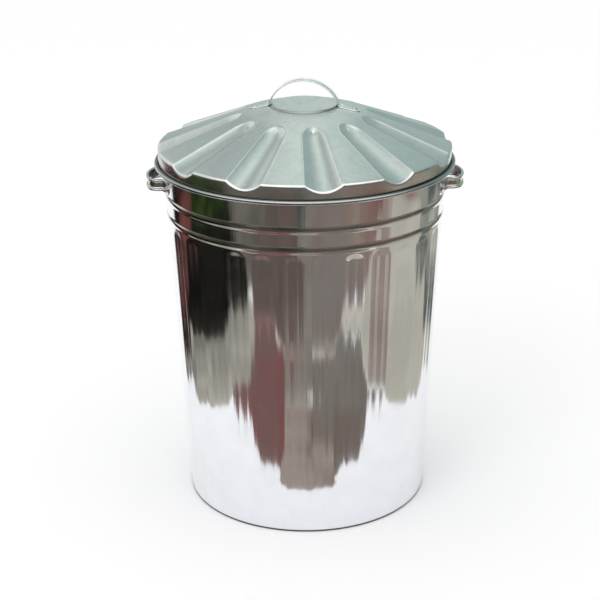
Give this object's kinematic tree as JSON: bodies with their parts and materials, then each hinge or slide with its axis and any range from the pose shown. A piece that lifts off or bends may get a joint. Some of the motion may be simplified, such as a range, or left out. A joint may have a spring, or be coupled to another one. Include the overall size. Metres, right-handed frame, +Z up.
{
  "type": "trash can with lid",
  "caption": "Tapered round galvanised steel trash can with fluted wall, side strap handles and a lift-off conical lid.",
  "frame": {"origin": "centre of the can's foot, on the surface it stands on", "axes": "+Z up along the can's axis, -Y towards the viewer's side, the handles at +X and -X"},
  "size_m": [0.489, 0.4604, 0.6684],
  "materials": {
    "can_sheet": "hot-dip galvanised sheet, bright and mirror-like with fine upright streaks",
    "lid_sheet": "hot-dip galvanised sheet, satin with faint spangle and smudges",
    "strap": "galvanised strip with rolled edges",
    "rivet": "plain galvanised steel, slightly dull",
    "wire": "plain galvanised steel wire"
  },
  "bodies": {
    "can": {"body_shell": "can_sheet", "body_rim_wire": "wire", "base_pan": "can_sheet", "handle_left": "strap", "handle_right": "strap", "handle_rivets_left": "rivet", "handle_rivets_right": "rivet"},
    "lid": {"lid_shell": "lid_sheet", "lid_rim_wire": "wire", "lid_handle": "strap", "lid_handle_rivets": "rivet"}
  },
  "joints": [
    {"name": "lid_lift", "type": "slide", "parent": "can", "child": "lid", "axis": [0, 0, 1], "range_m": [0, 0.3]}
  ]
}
